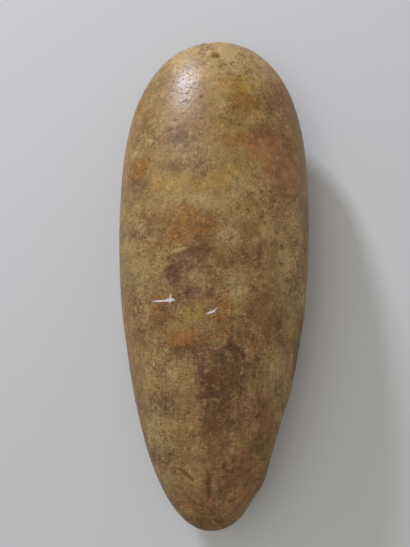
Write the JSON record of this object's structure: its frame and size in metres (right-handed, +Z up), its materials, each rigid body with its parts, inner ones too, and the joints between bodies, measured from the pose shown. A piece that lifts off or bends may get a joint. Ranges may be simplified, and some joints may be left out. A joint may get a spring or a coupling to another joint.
{
  "type": "polished stone axe head",
  "caption": "Ground stone axe head with a plump oval section, a broad curved cutting edge and a narrower rounded butt, lying on its lower face.",
  "frame": {"origin": "under the middle of the axe, on the small flat of its lower face that it rests on", "axes": "+Y from butt to cutting edge, +X to the right margin, +Z up through the upper face"},
  "size_m": [0.0696, 0.18, 0.0424],
  "materials": {
    "polished_stone": "hand-ground hard stone with mottled brown patina: glossy towards the cutting edge, duller, pecked and flaked towards the butt"
  },
  "bodies": {
    "root": {"axe_head": "polished_stone"}
  },
  "joints": []
}
